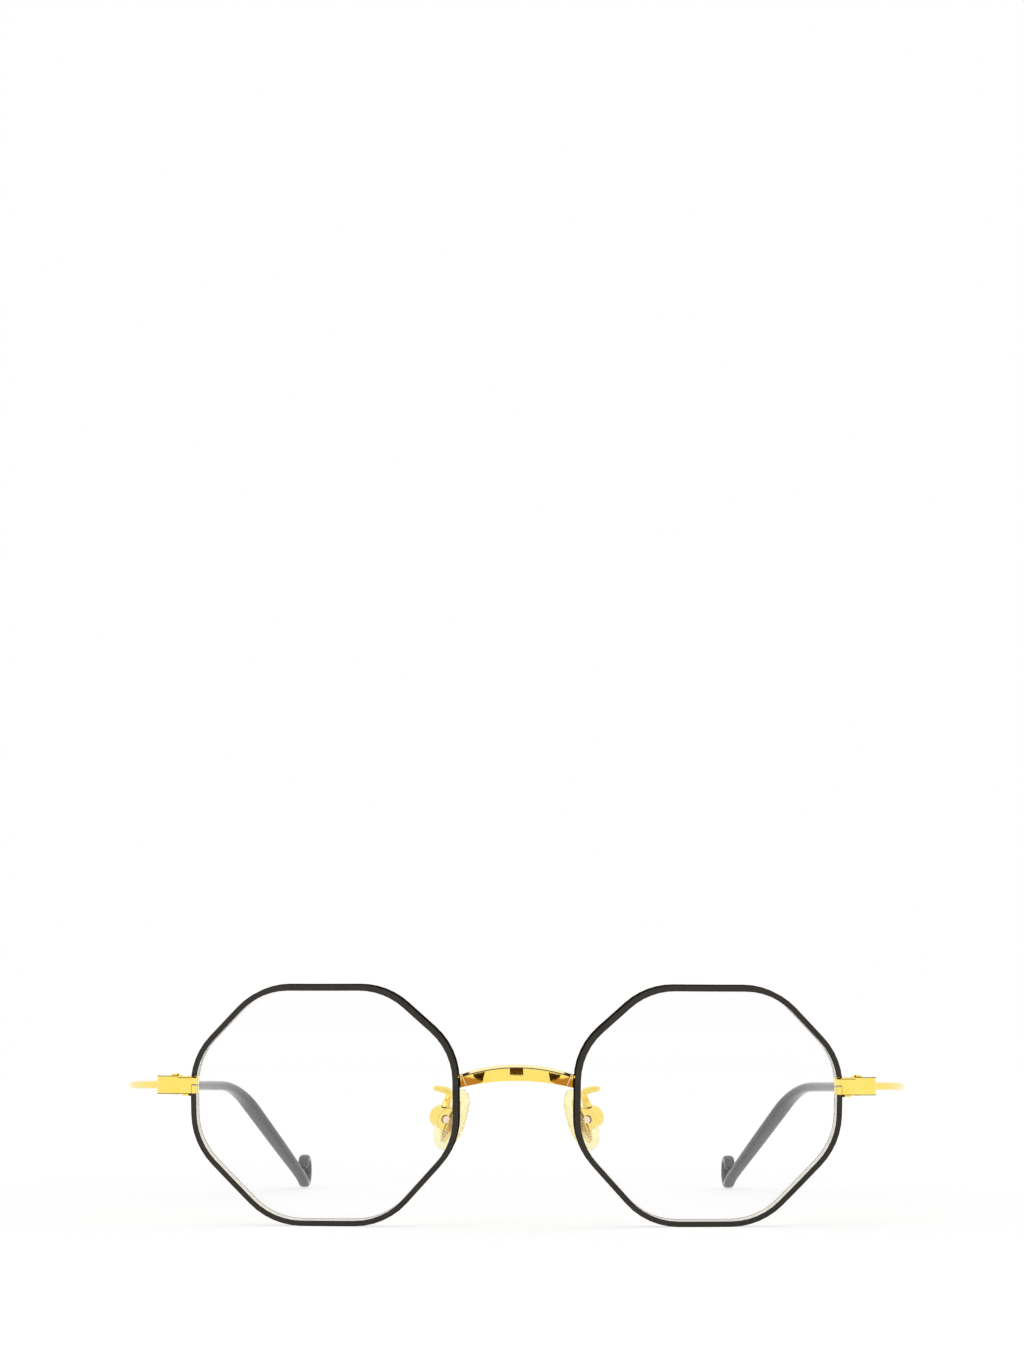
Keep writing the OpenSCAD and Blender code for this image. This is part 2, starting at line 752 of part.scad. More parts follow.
// The pad's own frame: the pivot along Y, the pad's length along Z and the nose towards -X
module place_pad() {
  translate(pivot) rotate([0, -pad_tilt, 0]) rotate([0, 0, -pad_splay]) children();
}

// A flat shape given as [x, z], as thick as width along Y
module slab_y(points, width) {
  rotate([90, 0, 0]) translate([0, 0, -width / 2]) linear_extrude(width) polygon(points);
}

module pad_pin_hole() {
  rotate([90, 0, 0]) cylinder(r = pad_pin_r + fit, h = 2 * box_w, center = true);
}

// The pad box from the side: straight at its mouth and round at its back
box_side = concat(
  [[-box_mouth, -box_h / 2]],
  [for (k = [-9 : 9]) [box_back - box_h / 2 * (1 - cos(10 * k)), box_h / 2 * sin(10 * k)]],
  [[-box_mouth, box_h / 2]]
);

module pad_box() {
  pocket_r = boss_r + 2 * boss_fit;
  pocket_w = boss_w + 2 * boss_fit;
  color(gold)
  place_pad()
  difference() {
    slab_y(box_side, box_w);
    rotate([90, 0, 0]) cylinder(r = pocket_r, h = pocket_w, center = true);
    translate([-box_mouth - 1, -pocket_w / 2, -pocket_r]) cube([box_mouth + 1, pocket_w, 2 * pocket_r]);
    pad_pin_hole();
  }
}

module pad_screw() {
  color(gold)
  place_pad() translate([0, -box_w / 2, 0]) rotate([-90, 0, 0]) screw(pad_pin_r, box_w);
}

// The plate that the pad is moulded round, and the boss that hangs it in its box
module insert_body() {
  translate([-pad_offset - insert_t / 2, 0, 0]) rotate([90, 0, 90]) linear_extrude(insert_t)
    polygon(rounded([
      [insert_w / 2, 0], [0, insert_l / 2], [-insert_w / 2, 0], [0, -insert_l / 2]
    ], 0.7));
  translate([-pad_offset, -boss_w / 2, -boss_r + 0.1]) cube([pad_offset, boss_w, 2 * boss_r - 0.2]);
  rotate([90, 0, 0]) cylinder(r = boss_r, h = boss_w, center = true);
}

module pad_insert() {
  color("darkgoldenrod")
  place_pad()
  difference() {
    insert_body();
    pad_pin_hole();
  }
}

module nose_pad() {
  color([0.95, 0.93, 0.8, 0.5])
  place_pad()
  difference() {
    hull() {
      translate([-pad_offset, 0, pad_lift + (pad_l - pad_top_w) / 2])
        scale([pad_t / pad_top_w, 1, 1]) sphere(d = pad_top_w, $fn = 32);
      translate([-pad_offset, 0, pad_lift + (pad_w - pad_l) / 2])
        scale([pad_t / pad_w, 1, 1]) sphere(d = pad_w, $fn = 32);
    }
    insert_body();
  }
}

left() rim();  // left_rim
right() rim();  // right_rim
left() rim_enamel();  // left_rim_enamel
right() rim_enamel();  // right_rim_enamel
left() lens();  // left_lens
right() lens();  // right_lens
left() bridge();
left() end_piece();  // left_end_piece
right() end_piece();  // right_end_piece
left() closing_block();  // left_closing_block
right() closing_block();  // right_closing_block
left() closing_screw();  // left_closing_screw
right() closing_screw();  // right_closing_screw
left() front_hinge();  // left_front_hinge
right() front_hinge();  // right_front_hinge
left() temple_hinge();  // left_temple_hinge
right() temple_hinge();  // right_temple_hinge
left() hinge_screw();  // left_hinge_screw
right() hinge_screw();  // right_hinge_screw
left() temple();  // left_temple
right() temple();  // right_temple
left() temple_tip();  // left_temple_tip
right() temple_tip();  // right_temple_tip
left() pad_arm();  // left_pad_arm
right() pad_arm();  // right_pad_arm
left() pad_box();  // left_pad_box
right() pad_box();  // right_pad_box
left() pad_screw();  // left_pad_screw
right() pad_screw();  // right_pad_screw
left() pad_insert();  // left_pad_insert
right() pad_insert();  // right_pad_insert
left() nose_pad();  // left_nose_pad
right() nose_pad();  // right_nose_pad
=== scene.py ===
"""Looks of the octagonal metal eyeglasses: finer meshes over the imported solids, materials, light and camera.

Everything is in the row frame, in metres. The wearer's left is +X and the front faces -Y.
"""

import json
import math

import bmesh
import bpy
from mathutils import Matrix, Vector
from mathutils.bvhtree import BVHTree


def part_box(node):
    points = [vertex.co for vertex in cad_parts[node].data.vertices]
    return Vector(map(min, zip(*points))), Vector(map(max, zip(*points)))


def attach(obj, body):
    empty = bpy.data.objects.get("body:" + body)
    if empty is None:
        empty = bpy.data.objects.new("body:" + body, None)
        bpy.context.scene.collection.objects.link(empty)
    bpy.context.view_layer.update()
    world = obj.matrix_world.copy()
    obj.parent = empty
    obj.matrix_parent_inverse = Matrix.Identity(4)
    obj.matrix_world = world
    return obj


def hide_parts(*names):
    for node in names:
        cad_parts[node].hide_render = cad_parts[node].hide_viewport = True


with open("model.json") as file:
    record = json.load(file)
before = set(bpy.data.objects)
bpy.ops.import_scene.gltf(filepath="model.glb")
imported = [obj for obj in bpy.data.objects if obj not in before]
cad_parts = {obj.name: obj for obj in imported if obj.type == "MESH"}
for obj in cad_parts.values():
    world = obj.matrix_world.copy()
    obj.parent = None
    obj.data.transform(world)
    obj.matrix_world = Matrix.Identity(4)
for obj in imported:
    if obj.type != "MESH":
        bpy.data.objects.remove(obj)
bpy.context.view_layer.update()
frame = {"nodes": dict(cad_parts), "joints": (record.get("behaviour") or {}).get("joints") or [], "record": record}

MM = 0.001
UP = Vector((0, 0, 1))
FORWARD = Vector((0, -1, 0))
SIDES = {"left": 1, "right": -1}
NODES = frame["nodes"]
BODIES = frame["record"]["behaviour"]["bodies"]
HOME = {node: body for body, members in BODIES.items() for node in members}


def placed(name, data):
    """A new object in the scene."""
    obj = bpy.data.objects.new(name, data)
    bpy.context.scene.collection.objects.link(obj)
    return obj


# Materials

GOLD_PALE = (1.0, 0.785, 0.185)
GOLD_DEEP = (0.985, 0.735, 0.14)

# The sleeves' hard polish is whole before the first of these places and has ended at the second
POLISH_WHOLE_Y = 8 * MM
POLISH_NONE_Y = 34 * MM


class Shader:
    """A node material that is put together one node at a time."""

    def __init__(self, name):
        self.material = bpy.data.materials.new(name)
        self.material.use_nodes = True
        self.tree = self.material.node_tree
        self.main = self.tree.nodes["Principled BSDF"]
        self.output = self.tree.nodes["Material Output"]
        self.place = self.add("ShaderNodeTexCoord").outputs["Object"]

    def add(self, kind, **settings):
        """A new node with those settings."""
        node = self.tree.nodes.new(kind)
        for key, value in settings.items():
            setattr(node, key, value)
        return node

    def join(self, source, target):
        """Link an output to an input, or to the main shader's input of that name."""
        if isinstance(target, str):
            target = self.main.inputs[target]
        self.tree.links.new(source, target)

    def set(self, **values):
        """Set the main shader's own inputs."""
        for key, value in values.items():
            socket = self.main.inputs[key.replace("_", " ")]
            socket.default_value = (*value, 1) if isinstance(value, tuple) else value

    def noise(self, size_mm, detail=3.0, stretch=(1, 1, 1)):
        """Noise with grains of about that size. Most of it lies between 0.3 and 0.7."""
        scale = self.add("ShaderNodeMapping")
        scale.inputs["Scale"].default_value = stretch
        self.join(self.place, scale.inputs["Vector"])
        node = self.add("ShaderNodeTexNoise")
        node.inputs["Scale"].default_value = 1 / (size_mm * MM)
        node.inputs["Detail"].default_value = detail
        self.join(scale.outputs["Vector"], node.inputs["Vector"])
        return node.outputs["Fac"]

    def ramp(self, source, low, high, start=0.3, stop=0.7):
        """Values or colours from low to high as source goes from start to stop."""
        if isinstance(low, tuple):
            node = self.add("ShaderNodeValToRGB")
            first, last = node.color_ramp.elements
            first.position = start
            first.color = (*low, 1)
            last.position = stop
            last.color = (*high, 1)
            self.join(source, node.inputs["Fac"])
            return node.outputs["Color"]
        node = self.add("ShaderNodeMapRange")
        node.inputs["From Min"].default_value = start
        node.inputs["From Max"].default_value = stop
        node.inputs["To Min"].default_value = low
        node.inputs["To Max"].default_value = high
        self.join(source, node.inputs["Value"])
        return node.outputs["Result"]

    def cloud(self, socket, low, high, size_mm, detail=3.0, stretch=(1, 1, 1)):
        """Let an input drift between low and high, in clouds of about that size."""
        self.join(self.ramp(self.noise(size_mm, detail, stretch), low, high), socket)

    def bump(self, height, depth_mm, strength):
        """Raise the surface by that height."""
        node = self.add("ShaderNodeBump")
        node.inputs["Strength"].default_value = strength
        node.inputs["Distance"].default_value = depth_mm * MM
        self.join(height, node.inputs["Height"])
        self.join(node.outputs["Normal"], "Normal")

    def lets_lamps_through(self, tint):
        """Shadow rays pass with that tint, so that clear parts cast faint shadows."""
        path = self.add("ShaderNodeLightPath")
        clear = self.add("ShaderNodeBsdfTransparent")
        clear.inputs["Color"].default_value = (*tint, 1)
        mix = self.add("ShaderNodeMixShader")
        self.join(path.outputs["Is Shadow Ray"], mix.inputs["Fac"])
        self.join(self.main.outputs["BSDF"], mix.inputs[1])
        self.join(clear.outputs["BSDF"], mix.inputs[2])
        self.join(mix.outputs["Shader"], self.output.inputs["Surface"])


def gold_metal(name, pale, deep, low_rough, high_rough):
    """Polished plated metal: soft cloudy tint, wiping marks in the polish and a faint waviness."""
    shader = Shader(name)
    shader.set(Metallic=1.0, IOR=1.5)
    shader.cloud("Base Color", deep, pale, size_mm=3.0)
    shader.cloud("Roughness", low_rough, high_rough, size_mm=0.8, detail=4.0, stretch=(1, 1, 3))
    shader.bump(shader.noise(1.8, detail=1.0), depth_mm=0.003, strength=0.25)
    return shader.material


def rim_inside_painted_reflection():
    """The rim's inside, painted nearly white: a painted reflection of the white surroundings."""
    shader = Shader("rim_inside_painted_reflection")
    shader.set(Metallic=0.35, IOR=1.5)
    shader.cloud("Base Color", (0.97, 0.95, 0.9), (1.0, 0.985, 0.95), size_mm=3.0)
    shader.cloud("Roughness", 0.3, 0.4, size_mm=0.8, detail=4.0)
    return shader.material


def black_enamel():
    """Baked lacquer, a warm black with a slight orange peel."""
    shader = Shader("black_enamel")
    shader.set(Metallic=0.0, IOR=1.5, Specular_IOR_Level=0.22)
    shader.cloud("Base Color", (0.034, 0.028, 0.022), (0.046, 0.038, 0.03), size_mm=3.0)
    shader.cloud("Roughness", 0.16, 0.22, size_mm=1.5)
    shader.bump(shader.noise(0.6, detail=1.0), depth_mm=0.002, strength=0.2)
    return shader.material


def enamel_wall_painted_shade():
    """The lacquer on the rim's outer wall, painted darker and without gloss: painted shade."""
    shader = Shader("enamel_wall_painted_shade")
    shader.set(Metallic=0.0, IOR=1.0, Specular_IOR_Level=0.0)
    shader.cloud("Base Color", (0.014, 0.012, 0.01), (0.022, 0.018, 0.015), size_mm=3.0)
    shader.cloud("Roughness", 0.2, 0.28, size_mm=1.5)
    return shader.material


def black_acetate():
    """Tumbled black acetate: deep and glossy, with a harder polish on the straight part of the sleeve."""
    shader = Shader("black_acetate")
    shader.set(Metallic=0.0, IOR=1.55, Coat_IOR=1.6, Coat_Roughness=0.06)
    shader.cloud("Base Color", (0.03, 0.03, 0.029), (0.04, 0.04, 0.038), size_mm=6.0)
    shader.cloud("Roughness", 0.05, 0.08, size_mm=5.0, detail=2.0)
    split = shader.add("ShaderNodeSeparateXYZ")
    shader.join(shader.place, split.inputs["Vector"])
    shader.join(shader.ramp(split.outputs["Y"], 1.0, 0.0, POLISH_WHOLE_Y, POLISH_NONE_Y), "Coat Weight")
    return shader.material


def clear_lens():
    """Clear plastic demo lens."""
    shader = Shader("clear_lens")
    shader.set(Base_Color=(0.99, 0.994, 0.992), Metallic=0.0, IOR=1.5, Transmission_Weight=1.0)
    shader.cloud("Roughness", 0.0, 0.01, size_mm=6.0)
    shader.lets_lamps_through((0.97, 0.972, 0.972))
    return shader.material


def clear_silicone():
    """Soft clear pad material with a warm haze, which lets the plate inside it show."""
    shader = Shader("clear_silicone")
    shader.set(Metallic=0.0, IOR=1.1, Transmission_Weight=0.93)
    shader.cloud("Base Color", (1.0, 0.935, 0.52), (1.0, 0.95, 0.62), size_mm=2.0)
    shader.cloud("Roughness", 0.04, 0.08, size_mm=0.8)
    shader.lets_lamps_through((1.0, 0.97, 0.88))
    return shader.material


def insert_metal():
    """Satin plate inside the pad."""
    shader = Shader("insert_metal")
    shader.set(Metallic=1.0, IOR=1.5)
    shader.cloud("Base Color", (0.8, 0.63, 0.38), (0.95, 0.8, 0.52), size_mm=0.5, detail=4.0)
    shader.cloud("Roughness", 0.22, 0.34, size_mm=0.4, detail=4.0)
    return shader.material


def knurl_metal():
    """The plate's knurls, which are a taupe."""
    shader = Shader("knurl_metal")
    shader.set(Metallic=1.0, IOR=1.5)
    shader.cloud("Base Color", (0.42, 0.32, 0.23), (0.66, 0.53, 0.4), size_mm=0.5, detail=4.0)
    shader.cloud("Roughness", 0.25, 0.38, size_mm=0.4, detail=4.0)
    return shader.material


def painted_shade_line():
    """Dark brown for painted shade lines along edges, under the bridge's facet and round the pad screw's seat."""
    shader = Shader("painted_shade_line")
    shader.set(Metallic=0.6, IOR=1.5)
    shader.cloud("Base Color", (0.05, 0.028, 0.012), (0.1, 0.06, 0.028), size_mm=0.6)
    shader.cloud("Roughness", 0.35, 0.5, size_mm=0.4)
    return shader.material


def lip_shadow_line():
    """A fine brown-grey line along the rim's back lip: a painted shadow line where the lens meets the rim."""
    shader = Shader("lip_shadow_line")
    shader.set(Metallic=0.0, IOR=1.5, Specular_IOR_Level=0.1)
    shader.cloud("Base Color", (0.24, 0.19, 0.15), (0.32, 0.25, 0.2), size_mm=2.0)
    shader.cloud("Roughness", 0.4, 0.5, size_mm=1.0)
    return shader.material


MATERIALS = {
    "gold": gold_metal("gold", GOLD_PALE, GOLD_DEEP, 0.06, 0.12),
    "bridge_gold": gold_metal("bridge_gold", GOLD_PALE, GOLD_DEEP, 0.015, 0.03),
    "edge_gold": gold_metal("edge_gold", (0.62, 0.36, 0.08), (0.5, 0.27, 0.05), 0.12, 0.2),
    "facet_painted_highlight_gold": gold_metal("facet_painted_highlight_gold", (1.0, 0.91, 0.5), (1.0, 0.88, 0.44), 0.1, 0.16),
    "screw": gold_metal("screw_gold", (0.97, 0.8, 0.66), (0.92, 0.7, 0.52), 0.12, 0.22),
    "rim_inside_painted_reflection": rim_inside_painted_reflection(),
    "enamel": black_enamel(),
    "enamel_wall_painted_shade": enamel_wall_painted_shade(),
    "acetate": black_acetate(),
    "lens": clear_lens(),
    "pad": clear_silicone(),
    "insert": insert_metal(),
    "knurl": knurl_metal(),
    "painted_shade": painted_shade_line(),
    "lip": lip_shadow_line(),
}


# Pieces

# Points closer than the first are one, and faces that turn less than the second are one flat face
WELD = 0.002 * MM
FLAT = math.radians(0.6)

# Edges that turn more than this stay crisp, and the machined parts have them broken in so many steps
SHARP = math.radians(32)
EDGE_STEPS = 2

# A drawn wire's triangles are paired within these angles, and its ends stay crisp
PAIR_TURN = math.radians(40)
PAIR_SKEW = math.radians(60)
WIRE_END = math.radians(60)

# How often and how strongly a tumbled end is evened out
TUMBLINGS = 4
TUMBLING = 0.5

LINE_SIDES = 8


def piece(name, bm, node, slot, *materials, sharp=SHARP):
    """A new smooth-shaded piece that stands for a CAD node and moves with it."""
    mesh = bpy.data.meshes.new(name)
    bm.to_mesh(mesh)
    bm.free()
    mesh.shade_smooth()
    mesh.set_sharp_from_angle(angle=sharp)
    for material in materials or [slot]:
        mesh.materials.append(MATERIALS[material])
    obj = placed(name, mesh)
    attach(obj, HOME[node])
    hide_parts(node)
    return obj


def keep(node, slot):
    """A CAD node that shows as it is, in its own material."""
    NODES[node].data.materials.clear()
    NODES[node].data.materials.append(MATERIALS[slot])


def welded(node):
    """The node's surface as one closed bmesh."""
    source = NODES[node].data
    bm = bmesh.new()
    verts = [bm.verts.new(v.co) for v in source.vertices]
    for polygon in source.polygons:
        bm.faces.new([verts[i] for i in polygon.vertices])
    bmesh.ops.remove_doubles(bm, verts=bm.verts[:], dist=WELD)
    bmesh.ops.dissolve_degenerate(bm, edges=bm.edges[:], dist=WELD)
    bmesh.ops.recalc_face_normals(bm, faces=bm.faces[:])
    return bm


def planed(node):
    """The welded node with its flat faces joined."""
    bm = welded(node)
    bmesh.ops.dissolve_limit(bm, angle_limit=FLAT, verts=bm.verts[:], edges=bm.edges[:])
    return bm


def broken_edges(obj, width_mm, in_second_material=False):
    """Round the crisp edges a little."""
    bevel = obj.modifiers.new("broken_edges", "BEVEL")
    bevel.width = width_mm * MM
    bevel.segments = EDGE_STEPS
    bevel.limit_method = "ANGLE"
    bevel.angle_limit = SHARP
    bevel.harden_normals = True
    bevel.use_clamp_overlap = True
    bevel.material = 1 if in_second_material else -1


def machined(node, slot, width_mm, *materials):
    """The node's shape with its edges broken, in the second material where two are named."""
    obj = piece(node + "_finished", planed(node), node, slot, *materials)
    broken_edges(obj, width_mm, len(materials) > 1)


def finer(obj, levels):
    """Subdivide the surface so many times."""
    smooth = obj.modifiers.new("finer", "SUBSURF")
    smooth.levels = levels
    smooth.render_levels = levels


def drawn_wire(node, slot, tumbled_behind=None):
    """The node's wire with a rounder section and crisp ends, tumbled rounder still behind a place."""
    bm = welded(node)
    bmesh.ops.join_triangles(
        bm, faces=bm.faces[:], angle_face_threshold=PAIR_TURN, angle_shape_threshold=PAIR_SKEW
    )
    crease = bm.edges.layers.float.new("crease_edge")
    for edge in bm.edges:
        if edge.calc_face_angle(0) > WIRE_END:
            edge[crease] = 1
    if tumbled_behind:
        far = [v for v in bm.verts if v.co.y > tumbled_behind]
        for _ in range(TUMBLINGS):
            bmesh.ops.smooth_vert(
                bm, verts=far, factor=TUMBLING, use_axis_x=True, use_axis_y=True, use_axis_z=True
            )
    finer(piece(node + "_wire", bm, node, slot), 1)


def tube(points, up, radius, closed=False):
    """A round line along points, as a bmesh. The line never runs along up."""
    bm = bmesh.new()
    turns = [2 * math.pi * k / LINE_SIDES for k in range(LINE_SIDES)]
    rings = []
    count = len(points)
    for i, point in enumerate(points):
        before = points[i - 1] if i or closed else point
        after = points[(i + 1) % count] if i + 1 < count or closed else point
        along = (after - before).normalized()
        out = along.cross(up).normalized()
        top = out.cross(along)
        section = [point + radius * (math.cos(t) * out + math.sin(t) * top) for t in turns]
        rings.append([bm.verts.new(corner) for corner in section])
    pairs = list(zip(rings, rings[1:]))
    if closed:
        pairs.append((rings[-1], rings[0]))
    else:
        bm.faces.new(rings[0])
        bm.faces.new(rings[-1][::-1])
    for a, b in pairs:
        for k in range(LINE_SIDES):
            m = (k + 1) % LINE_SIDES
            bm.faces.new((a[k], b[k], b[m], a[m]))
    bmesh.ops.recalc_face_normals(bm, faces=bm.faces[:])
    return bm


def fine_line(name, points, up, radius, node, material, closed=False):
    """A thin round line on a gold node."""
    piece(name, tube(points, up, radius, closed), node, "gold", material)


def chains(edges):
    """The edges in groups that hang together, in the order in which they come."""
    left = list(edges)
    while left:
        chain = [left.pop(0)]
        for edge in chain:
            beside = [e for e in left if set(e.verts) & set(edge.verts)]
            left = [e for e in left if e not in beside]
            chain.extend(beside)
        yield chain


def in_line(chain):
    """The points of a chain of edges, in order from one end to the other."""
    beside = {}
    for edge in chain:
        for vert in edge.verts:
            beside.setdefault(vert, []).append(edge.other_vert(vert))
    ends = [vert for vert, others in beside.items() if len(others) == 1]
    here = ends[0] if ends else next(iter(beside))
    line = [here]
    last = None
    while True:
        onward = [vert for vert in beside[here] if vert is not last and vert is not line[0]]
        if not onward:
            return [vert.co.copy() for vert in line]
        last, here = here, onward[0]
        line.append(here)


# Rims

# How each eye is turned, as in the part's source
EYE_WRAP = math.radians(5.5)
EYE_LEAN = math.radians(7)

RIM_EDGE_MM = 0.06
ENAMEL_EDGE_MM = 0.09
RIM_LINE = 0.06 * MM

# The parts of a face's direction that tell the rim's inside, its back lip and the enamel's outer wall
INWARD = 0.3
BACKWARD = 0.7
SIDEWAYS = 0.3


def eye_axis(side):
    """From the front to the back through an eye's middle."""
    turn = Matrix.Rotation(EYE_WRAP, 3, "Z") @ Matrix.Rotation(EYE_LEAN, 3, "X")
    back = turn @ -FORWARD
    back.x *= SIDES[side]
    return back


def rim(side):
    """The gold rim: its inside is painted nearly white as a painted reflection, with a fine painted shadow line
    along the back lip's edge.
    """
    node = side + "_rim"
    low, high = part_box(side + "_lens")
    middle = (low + high) / 2
    axis = eye_axis(side)
    bm = planed(node)
    inside = set()
    for face in bm.faces:
        out = face.calc_center_median() - middle
        out -= axis * out.dot(axis)
        if face.normal.dot(out.normalized()) < -INWARD:
            inside.add(face)
    lips = [
        e for e in bm.edges
        if len(e.link_faces) == 2
        and len(inside.intersection(e.link_faces)) == 1
        and max(f.normal.dot(axis) for f in e.link_faces) > BACKWARD
    ]
    # The lens groove has such edges too, further forward
    back_lip = [e for e in lips if (e.verts[0].co - middle).dot(axis) > 0]
    # A painted shadow line along the back lip's edge.
    fine_line(side + "_rim_back_shadow_line", in_line(back_lip), axis, RIM_LINE, node, "lip")
    # The inside faces are painted nearly white, a painted reflection.
    looks = ["gold", "rim_inside_painted_reflection"]
    for face in inside:
        face.material_index = looks.index("rim_inside_painted_reflection")
    broken_edges(piece(node + "_finished", bm, node, "gold", *looks), RIM_EDGE_MM)


def enamel(side):
    """The lacquer on the rim's front and outer wall; the outer wall is painted darker and without gloss, as
    painted shade.
    """
    node = side + "_rim_enamel"
    axis = eye_axis(side)
    bm = planed(node)
    looks = ["enamel", "enamel_wall_painted_shade"]
    # The outer wall's faces take the painted shade.
    for face in bm.faces:
        if abs(face.normal.dot(axis)) < SIDEWAYS:
            face.material_index = looks.index("enamel_wall_painted_shade")
    broken_edges(piece(node + "_finished", bm, node, "enamel", *looks), ENAMEL_EDGE_MM)


# End pieces

EDGE_LINE = 0.06 * MM

# The parts of a face's direction that tell a level face, an upright one, and one that is turned outward
LEVEL = 0.5
UPRIGHT = 0.3
OUTWARD = 0.3


def edge_lines(side):
    """Fine brown lines along the upper and lower edges of the end piece's upright faces: painted shade lines."""
    node = side + "_end_piece"
    bm = planed(node)

    def level(face):
        return abs(face.normal.z) > LEVEL

    def upright(face):
        outward = face.normal.y < -OUTWARD or face.normal.x * SIDES[side] > OUTWARD
        return abs(face.normal.z) < UPRIGHT and outward

    edges = [
        e for e in bm.edges
        if len(e.link_faces) == 2 and any(map(level, e.link_faces)) and any(map(upright, e.link_faces))
    ]
    for number, chain in enumerate(chains(edges), 1):
        fine_line(node + "_edge_line_" + str(number), in_line(chain), UP, EDGE_LINE, node, "painted_shade")
    bm.free()


# Bridge

# How wide the facet and the line under it are, and the turn from which an edge stays crisp
FACET = 0.38 * MM
FACET_LINE = 0.09 * MM
FACET_SHARP = math.radians(12)

# The parts of a face's direction that tell the bridge's front and top, and the facet between them
SQUARE_ON = 0.8
SLANTED = 0.4

# A solder seam's radius, its distance from the middle at a share of the bridge's height, and its lean
SEAM = 0.08 * MM
SEAM_X = 9.1 * MM
SEAM_X_AT = 0.25
SEAM_SLANT = 0.4
SEAM_STEPS = 24
CLEAR_BEFORE = 10 * MM


def bridge():
    """The arched strip with a flat facet along its upper front edge, painted paler as a painted highlight, and a
    painted shade line under the facet.
    """
    bm = planed("bridge")

    def kind(face):
        if face.normal.y < -SQUARE_ON:
            return "front"
        if face.normal.z > SQUARE_ON:
            return "top"
        if face.normal.y < -SLANTED and face.normal.z > SLANTED:
            return "facet"
        return "other"

    def cut(first, second, width):
        """Cut the edges between two kinds of faces, and give the new faces."""
        edges = [
            e for e in bm.edges
            if len(e.link_faces) == 2 and {kind(e.link_faces[0]), kind(e.link_faces[1])} == {first, second}
        ]
        made = bmesh.ops.bevel(
            bm, geom=edges, offset=width, offset_type="OFFSET", segments=1, profile=0.5, affect="EDGES",
            clamp_overlap=False
        )
        bm.normal_update()
        return made["faces"]

    cut("front", "top", FACET)
    # A narrow strip between the front and the facet, painted dark brown as a painted shade line.
    line = cut("front", "facet", FACET_LINE)
    looks = ["bridge_gold", "painted_shade", "facet_painted_highlight_gold"]
    # The facet is painted a paler gold, a painted highlight where it faces up.
    for face in bm.faces:
        if kind(face) == "facet":
            face.material_index = looks.index("facet_painted_highlight_gold")
    for face in line:
        face.material_index = looks.index("painted_shade")
    piece("bridge_finished", bm, "bridge", "gold", *looks, sharp=FACET_SHARP)


def bridge_seams():
    """A slanted bead of solder at each foot of the bridge, in the pale screw gold: partly a real bead, partly a
    painted highlight line.
    """
    bm = welded("bridge")
    tree = BVHTree.FromBMesh(bm)
    bm.free()
    low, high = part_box("bridge")
    rise = high.z - low.z
    for side, way in SIDES.items():
        points = []
        for k in range(SEAM_STEPS + 1):
            z = rise * k / SEAM_STEPS
            x = way * (SEAM_X + SEAM_SLANT * (z - SEAM_X_AT * rise))
            hit = tree.ray_cast(Vector((x, low.y - CLEAR_BEFORE, low.z + z)), -FORWARD)[0]
            if hit:
                points.append(hit)
        fine_line(side + "_bridge_seam", points, FORWARD, SEAM, "bridge", "screw")


# Nose pads, in a frame that has the pivot along Y, the pad's length along Z and the nose towards -X

PAD_TILT = math.radians(22)
PAD_SPLAY = math.radians(38)
PAD_L = 11.5 * MM
PAD_W = 7.7 * MM
PAD_T = 2.2 * MM
PAD_LIFT = 0.3 * MM
PAD_OFFSET = 2.5 * MM

# How much narrower the upper end is, and the powers of the outline and of the dome
PAD_TAPER = 0.12
PAD_SQUARE = 2.25
PAD_ROUND = 2.8

# The lip and the dish at the pad's back, with their places as shares of the way from its middle to its edge
PAD_LIP = 0.1 * MM
LIP_AT = 0.78
LIP_BROAD = 0.1
PAD_DISH = 0.16 * MM
DISH_END = 0.62

PAD_SPOKES = 48
PAD_RINGS = 10

# The plate in the pad, and the knurls on its back
PLATE_L = 8.4 * MM
PLATE_W = 3.5 * MM
PLATE_BACK = -2.25 * MM
KNURL = 0.44 * MM
KNURL_FOOT = 0.48 * KNURL
KNURL_H = 0.12 * MM

# The ring under the pad screw's head
SEAT_R = 0.72 * MM
SEAT_WIRE = 0.055 * MM
SEAT_Y = -1.35 * MM
SEAT_SPOKES = 32


def pad_place(side):
    """From the pad's own frame to the row frame."""
    joint = next(j for j in frame["joints"] if j["name"] == side + "_pad_rock")
    pivot = Vector(joint["pos_m"])
    pivot.x = abs(pivot.x)
    mirror = Matrix.Diagonal((SIDES[side], 1, 1, 1))
    turn = Matrix.Rotation(-PAD_TILT, 4, "Y") @ Matrix.Rotation(-PAD_SPLAY, 4, "Z")
    return mirror @ Matrix.Translation(pivot) @ turn


def signed_power(x, n):
    """The power of the number's size, with its sign."""
    return math.copysign(abs(x) ** n, x)


def pad_point(spoke, share, face):
    """A point of the skin: share is 0 in the middle and 1 at the edge, and face -1 is towards the nose."""
    at = 2 * math.pi * spoke / PAD_SPOKES
    z = PAD_L / 2 * signed_power(math.sin(at), 2 / PAD_SQUARE) * share
    half_w = PAD_W / 2 * (1 - PAD_TAPER * 2 * z / PAD_L)
    y = half_w * signed_power(math.cos(at), 2 / PAD_SQUARE) * share
    x = face * PAD_T / 2 * (1 - share ** PAD_ROUND) ** 0.5
    if face > 0:
        x += PAD_LIP * math.exp(-(((share - LIP_AT) / LIP_BROAD) ** 2))
        x -= PAD_DISH * (1 - min(1, share / DISH_END) ** 4)
    return Vector((x - PAD_OFFSET, y, z + PAD_LIFT))


